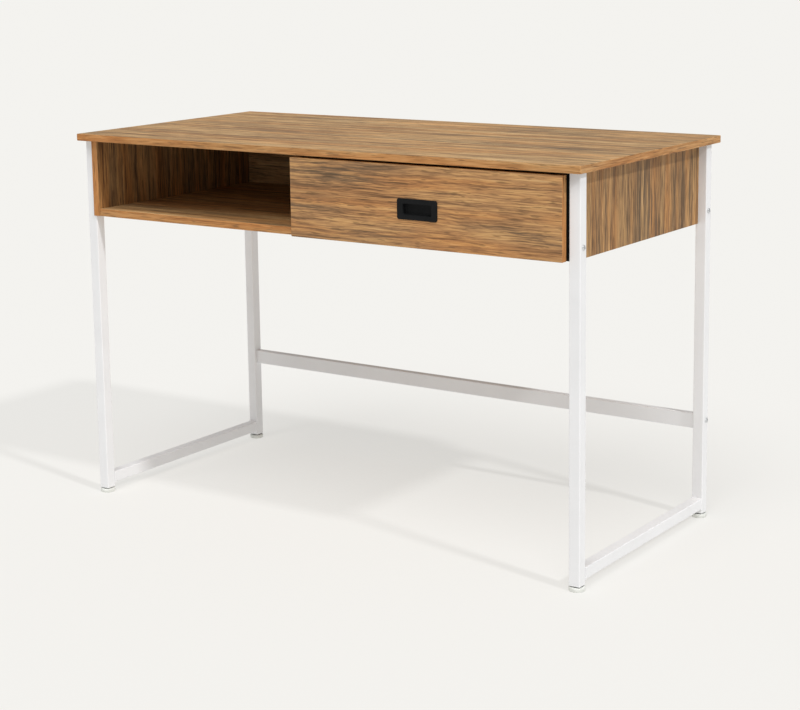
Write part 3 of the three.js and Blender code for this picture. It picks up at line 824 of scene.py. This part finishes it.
def pad_profile(radius):
    """The pad from the middle of its tread up to the foot of its stud."""
    step = radius - 0.2 * MM
    profile = [(0, 0), (radius - 2.0 * MM, 0), (radius - 0.6 * MM, 0.4 * MM), (step, 1.2 * MM),
               (step, 2.2 * MM), (radius, 2.6 * MM)]
    for place in range(RIM_STEPS + 1):
        angle = math.radians(90 * place / RIM_STEPS)
        profile.append((radius - PAD_RIM + PAD_RIM * math.cos(angle),
                        PAD_HEIGHT - PAD_RIM + PAD_RIM * math.sin(angle)))
    ring_floor = PAD_HEIGHT - RING_DEPTH
    profile += [(RING_OUTER, PAD_HEIGHT), (RING_OUTER - RING_SLOPE, ring_floor),
                (RING_INNER + RING_SLOPE, ring_floor), (RING_INNER, PAD_HEIGHT)]
    return profile


def levelling_foot(node):
    low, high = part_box(node)
    height = high.z - low.z
    root = STUD_RADIUS - THREAD_DEPTH
    profile = [*pad_profile((high.x - low.x) / 2), (root, PAD_HEIGHT)]
    for ridge in range(int((height - PAD_HEIGHT - STUD_TIP) / THREAD_PITCH)):
        base = PAD_HEIGHT + ridge * THREAD_PITCH
        profile += [(STUD_RADIUS, base + THREAD_PITCH / 2), (root, base + THREAD_PITCH)]
    profile.append((0, height))
    return turned(profile, ((low.x + high.x) / 2, (low.y + high.y) / 2, low.z), Z, 40)


for side in SIDES:
    for end in ENDS:
        node = f"foot_{end}_{side}"
        piece = keep(levelling_foot(node), f"pad_{end}_{side}", [foot_plastic], node, "pale_plastic", node)
        shade_turned(piece, 40)

# %% [markdown]
# ## Bolts and screws
# A button-head bolt has a low domed head with a hexagonal socket. The head is a spun profile
# with a round hole, and the hole's wall is then pulled to a hexagon: in each direction, the
# hexagon reaches as far as its flat's distance divided by the cosine of the angle from the
# middle of that flat.

# %% Button heads
HEX_SIDES = 6
BOLT_CHAMFER = 0.6 * MM
SOCKET_CHAMFER = 0.25 * MM
DOME_START = 0.25
DOME_ANGLES = [math.radians(15 * place) for place in range(6)]


def hexagon_reach(angle, flat):
    step = 2 * math.pi / HEX_SIDES
    return flat / math.cos((angle % step) - step / 2)


def button_bolt(centre, axis, way, shank_radius, shank, head_radius, head, socket):
    """Head outwards along way from centre, shank inwards. socket is half the key's width."""
    dome = [(head_radius * math.cos(a), head * (DOME_START + (1 - DOME_START) * math.sin(a)))
            for a in DOME_ANGLES if head_radius * math.cos(a) > 1.5 * socket]
    profile = [(0, -shank), (0.8 * shank_radius, -shank), (shank_radius, -shank + BOLT_CHAMFER),
               (shank_radius, 0), (head_radius, 0), *dome, (1.45 * socket, head),
               (socket, head - SOCKET_CHAMFER), (socket, 0.3 * head), (0, 0.25 * head)]
    shape = turned([(radius, way * along) for radius, along in profile], centre, axis, 36)
    first, second = [i for i in AXES if i != axis]
    for vert in shape.verts:
        u, v = vert.co[first] - centre[first], vert.co[second] - centre[second]
        if abs(math.hypot(u, v) - socket) < TOUCH:
            angle = math.atan2(v, u)
            reach = hexagon_reach(angle, socket)
            vert.co[first] = centre[first] + reach * math.cos(angle)
            vert.co[second] = centre[second] + reach * math.sin(angle)
    return shape


print("hexagon corner at", round(hexagon_reach(0, 1.0), 3), "times its flat")

# %% [markdown]
# Two bolts on each side go through the legs into the side panels, and one through the back
# leg into the stretcher. Each takes its length and its head's width from its CAD node.

# %% Frame bolts
FRAME_BOLTS = ("leg_bolt_front", "leg_bolt_back", "stretcher_bolt")
HEAD_HEIGHT = 2.4 * MM
BOLT_RADIUS = 3 * MM
BOLT_SOCKET = 2 * MM


def frame_bolt(node, way):
    low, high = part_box(node)
    middle = (low + high) / 2
    seat = high.x - HEAD_HEIGHT if way > 0 else low.x + HEAD_HEIGHT
    return button_bolt(Vector((seat, middle.y, middle.z)), X, way, BOLT_RADIUS,
                       high.x - low.x - HEAD_HEIGHT, (high.y - low.y) / 2, HEAD_HEIGHT, BOLT_SOCKET)


for name, way in SIDES.items():
    for kind in FRAME_BOLTS:
        node = f"{kind}_{name}"
        piece = keep(frame_bolt(node, way), f"button_{node}", [zinc], "carcass", "zinc_steel", node)
        shade_turned(piece, 30)
print("bolts:", len(SIDES) * len(FRAME_BOLTS))

# %% [markdown]
# ## Drawer box
# The sides, back and bottom are boards wrapped in a paler foil. The sides have a groove near
# their lower edge that holds the thin bottom. Their outline, seen from the front, is drawn
# from the bottom's own box, so the groove always fits it.

# %% Drawer box
UPPER_ROUND = 1.5 * MM
BACK_ROUND = 1.0 * MM
BOTTOM_ROUND = 0.5 * MM
boards_low, boards_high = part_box("drawer_bottom")


def outer_inner(low, high, side):
    """A box's x on the side given, -1 or +1, and its x on the other side."""
    return (high.x, low.x) if side > 0 else (low.x, high.x)


def drawer_side(name, side):
    low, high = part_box(f"drawer_side_{name}")
    outer, inner = outer_inner(low, high, side)
    groove = outer_inner(boards_low, boards_high, side)[0] + side * GAP
    groove_low, groove_high = boards_low.z - GAP, boards_high.z + GAP
    rim = [(outer, low.z), (outer, high.z), (inner, high.z), (inner, groove_high),
           (groove, groove_high), (groove, groove_low), (inner, groove_low), (inner, low.z)]
    shape = start_prism([(u, low.y, v) for u, v in rim], (0, high.y - low.y, 0))
    upper = [e for e in edges_along(shape, Y) if abs(e.verts[0].co.z - high.z) < TOUCH]
    round_over(shape, upper, UPPER_ROUND, 3)
    return keep(shape, f"foil_drawer_side_{name}", [drawer_foil], "drawer", "drawer_decor",
                f"drawer_side_{name}")


for name, side in SIDES.items():
    drawer_side(name, side)
for node, radius, foil in (("drawer_back", BACK_ROUND, back_foil),
                           ("drawer_bottom", BOTTOM_ROUND, drawer_foil)):
    board = start_box(*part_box(node))
    round_over(board, board.edges[:], radius)
    keep(board, f"foil_{node}", [foil], "drawer", "drawer_decor", node)
print("drawer bottom", [round(v, 3) for v in boards_high - boards_low])

# %% [markdown]
# ## Runners and rollers
# The drawer hangs on a pair of roller runners: a channel on the cabinet with a roller at its
# front, and an angle on the drawer with a roller at its back. They are folded from 1.2 mm
# sheet, so each is a thin outline extruded along the depth, with a fold line rounded. The
# roller's axle is a short pin riveted to the sheet, with a domed cap.

# %% Runners
SHEET = 1.2 * MM
FOLD_ROUND = 0.9 * MM
CHANNEL_REACH = 1.8 * MM
AXLE_RADIUS = 2.5 * MM
CAP_RADIUS = 1.8 * MM
CAP_HEIGHT = 0.6 * MM
# how far a pin starts out from its roller, and how much longer than the roller it is
PIN_SETS = {"cabinet": (1.5 * MM, 1.0 * MM), "drawer": (0.8 * MM, 0.3 * MM)}


def cabinet_channel(low, high, side, drawer_low, drawer_high):
    wall = outer_inner(low, high, side)[0]
    reach = outer_inner(drawer_low, drawer_high, side)[0] + side * CHANNEL_REACH
    web = wall - side * SHEET
    return wall, [(wall, low.z), (wall, high.z), (reach, high.z), (reach, high.z - SHEET),
                  (web, high.z - SHEET), (web, low.z + SHEET), (reach, low.z + SHEET), (reach, low.z)]


def drawer_angle(low, high, side, drawer_low, drawer_high):
    flange, tip = outer_inner(low, high, side)
    face = outer_inner(drawer_low, drawer_high, side)[0] + side * GAP
    web = face + side * SHEET
    ledge = drawer_low.z - GAP
    return web, [(tip, low.z), (web, low.z), (web, high.z - SHEET), (flange, high.z - SHEET),
                 (flange, high.z), (face, high.z), (face, ledge), (tip, ledge)]


def runner(kind, name, side):
    """One folded section. Its own function gives the x of the folds to round, and its outline."""
    low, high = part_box(f"{kind}_runner_{name}")
    section = cabinet_channel if kind == "cabinet" else drawer_angle
    fold, rim = section(low, high, side, *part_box(f"drawer_side_{name}"))
    shape = start_prism([(u, low.y, v) for u, v in rim], (0, high.y - low.y, 0))
    folds = [e for e in edges_along(shape, Y) if abs(e.verts[0].co.x - fold) < TOUCH]
    round_over(shape, folds, FOLD_ROUND, 3)
    return shape


def axle(kind, name, side):
    """A pin that starts beside its roller and reaches past the roller's other face."""
    low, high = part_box(f"{kind}_roller_{name}")
    way = -side if kind == "cabinet" else side
    start, past = PIN_SETS[kind]
    centre = (low + high) / 2
    centre.x = outer_inner(low, high, -way)[0] - way * start
    length = high.x - low.x + past
    profile = [(0, 0), (AXLE_RADIUS, 0), (AXLE_RADIUS, length),
               (CAP_RADIUS, length + 0.7 * CAP_HEIGHT), (0, length + CAP_HEIGHT)]
    return turned([(radius, way * along) for radius, along in profile], centre, X, 24)


BODIES = {"cabinet": "carcass", "drawer": "drawer"}
for name, side in SIDES.items():
    for kind, body in BODIES.items():
        shape = runner(kind, name, side)
        add_shape(shape, axle(kind, name, side))
        node = f"{kind}_runner_{name}"
        piece = keep(shape, f"sheet_{node}", [sheet_enamel], body, "runner_steel", node)
        print(piece.name, len(piece.data.polygons), "faces")

# %% [markdown]
# A roller is moulded nylon with a rounded tread, and its web is sunk between the hub and the
# rim. It turns on the axle, so its bore stays open: the profile closes on itself instead of
# meeting the axis. Half of the profile is drawn, and the other half is its mirror.

# %% Rollers
BORE = 2.8 * MM
HUB = 4.8 * MM
RIM_INSIDE = 9.0 * MM
WEB_DEPTH = 0.9 * MM
WEB_SLOPE = 0.4 * MM


def roller(node):
    low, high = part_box(node)
    radius, half = (high.z - low.z) / 2, (high.x - low.x) / 2
    web = half - WEB_DEPTH
    profile = [(BORE, -half), (HUB, -half), (HUB + WEB_SLOPE, -web), (RIM_INSIDE - WEB_SLOPE, -web),
               (RIM_INSIDE, -half), (radius - 0.7 * MM, -half), (radius, -half + 0.8 * MM)]
    profile += [(reach, -along) for reach, along in reversed(profile)]
    profile.append(profile[0])
    return turned(profile, (low + high) / 2, X, 48)


for kind in BODIES:
    for name in SIDES:
        node = f"{kind}_roller_{name}"
        piece = keep(roller(node), f"nylon_{node}", [nylon], node, "roller_nylon", node)
        shade_turned(piece, 35)
print("rollers:", len(BODIES) * len(SIDES))

# %% [markdown]
# The runner screws sit in the webs of the sheet, three to each cabinet runner and two to each
# drawer runner. The CAD leaves them out, so they take their places from the sheet, as shares
# of its length. The two screws that hold the pull have their heads inside the drawer.

# %% Screws
SCREW_PLACES = {"cabinet": (0.2, 0.5, 0.85), "drawer": (0.12, 0.62)}
SCREW_RAISE = 2 * MM
# shank radius, shank length, head radius, head height and half the key's width
RUNNER_SCREW = (1.4 * MM, 3 * MM, 3.2 * MM, 1.0 * MM, 1.1 * MM)
PULL_SHANK = 1.6 * MM
PULL_HEAD = (4 * MM, 2.2 * MM, 1.3 * MM)


def runner_screws(kind, name, side):
    low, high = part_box(f"{kind}_runner_{name}")
    if kind == "cabinet":
        seat, way = outer_inner(low, high, side)[0] - side * SHEET, -side
    else:
        drawer_face = outer_inner(*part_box(f"drawer_side_{name}"), side)[0]
        seat, way = drawer_face + side * (GAP + SHEET), side
    shape = bmesh.new()
    for share in SCREW_PLACES[kind]:
        centre = Vector((seat, low.y + share * (high.y - low.y), (low.z + high.z) / 2 + SCREW_RAISE))
        add_shape(shape, button_bolt(centre, X, way, *RUNNER_SCREW))
    return shape


for name, side in SIDES.items():
    for kind, body in BODIES.items():
        piece = keep(runner_screws(kind, name, side), f"{kind}_runner_screws_{name}", [zinc], body,
                     "zinc_steel")
        shade_turned(piece, 30)
    node = f"pull_screw_{name}"
    low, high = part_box(node)
    seat = Vector(((low.x + high.x) / 2, front_high.y + GAP, (low.z + high.z) / 2))
    screw = button_bolt(seat, Y, 1, PULL_SHANK, seat.y - low.y, *PULL_HEAD)
    piece = keep(screw, f"pan_head_{node}", [zinc], "drawer", "zinc_steel", node)
    shade_turned(piece, 30)
print("runner screws on each side:", sum(map(len, SCREW_PLACES.values())))

# %% [markdown]
# ## Hidden fittings
# The dowels, threaded inserts, stretcher blocks and leg plugs keep their CAD shapes, because
# they hardly show. They still get their real finish.

# %% Finish the CAD pieces that stay
KEPT_FINISHES = {"dowel_": beech, "insert_nut_": zinc, "stretcher_block_": plug_plastic,
                 "leg_plug_": plug_plastic}
for node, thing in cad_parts.items():
    for name_start, finish in KEPT_FINISHES.items():
        if node.startswith(name_start):
            for slot in thing.material_slots:
                slot.material = finish
print("CAD pieces kept:", sum(not thing.hide_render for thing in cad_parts.values()))

# %% [markdown]
# ## Floor and light
# The desk stands on a pale studio floor that runs out of sight. The floor glows, like a sheet
# of lit acrylic, so the shadows on it stay light. Its base colour sends back just enough of
# the lamps' light for floor and glow together to match the backdrop.

# %% Floor
BACKDROP = "#f4f3ef"
FLOOR_BASE = "#979694"
FLOOR_GLOW = 0.623
FLOOR_RADIUS = 40.0

disc = bmesh.new()
bmesh.ops.create_circle(disc, cap_ends=True, segments=64, radius=FLOOR_RADIUS)
mesh = bpy.data.meshes.new("studio_floor")
disc.to_mesh(mesh)
disc.free()
studio_floor = bpy.data.objects.new("studio_floor", mesh)
bpy.context.scene.collection.objects.link(studio_floor)
lit_acrylic = start_material(
    "lit_acrylic_floor", Roughness=1.0, Specular_IOR_Level=0.0, Base_Color=linear(FLOOR_BASE),
    Emission_Color=linear(BACKDROP), Emission_Strength=FLOOR_GLOW)[0]
mesh.materials.append(lit_acrylic)
print("floor", 2 * FLOOR_RADIUS, "m across")

# %% [markdown]
# Two sun lamps light the desk. The key comes from the right and above and is small, so it
# draws the long shadows. The fill is very broad and comes from the front and above, as from a
# large softbox, and it lights the drawer front. An even white sky does the rest. The sky that
# lights the desk and the sky that stands behind it are set apart, so that the floor runs into
# its backdrop without a line.

# %% Lamps and sky
# each lamp's direction, strength and the angle in degrees that it fills
LAMPS = {
    "key_light": (Vector((-1.0, 0.23, -1.0)), 1.3, 4.0),
    "front_fill": (Vector((-0.12, 0.5, -0.86)), 1.5, 38.0)}
SKY_STRENGTH = 0.4

for name, (way, energy, softness) in LAMPS.items():
    lamp = bpy.data.objects.new(name, bpy.data.lights.new(name, "SUN"))
    lamp.data.energy = energy
    lamp.data.angle = math.radians(softness)
    lamp.matrix_world = way.to_track_quat("-Z", "Y").to_matrix().to_4x4()
    bpy.context.scene.collection.objects.link(lamp)

world = bpy.data.worlds.new("studio_sky")
bpy.context.scene.world = world
world.use_nodes = True
sky = world.node_tree
lighting = sky.nodes["Background"]
lighting.inputs["Color"].default_value = white
lighting.inputs["Strength"].default_value = SKY_STRENGTH
backdrop = add_node(sky, "Background", {"Color": linear(BACKDROP), "Strength": 1.0})
seen_directly = add_node(sky, "LightPath", output="Is Camera Ray")
both = add_node(sky, "MixShader", (seen_directly, lighting.outputs["Background"], backdrop))
sky.links.new(both, sky.nodes["World Output"].inputs["Surface"])
bpy.context.scene.view_settings.view_transform = "Standard"
print("lamps:", len(LAMPS))
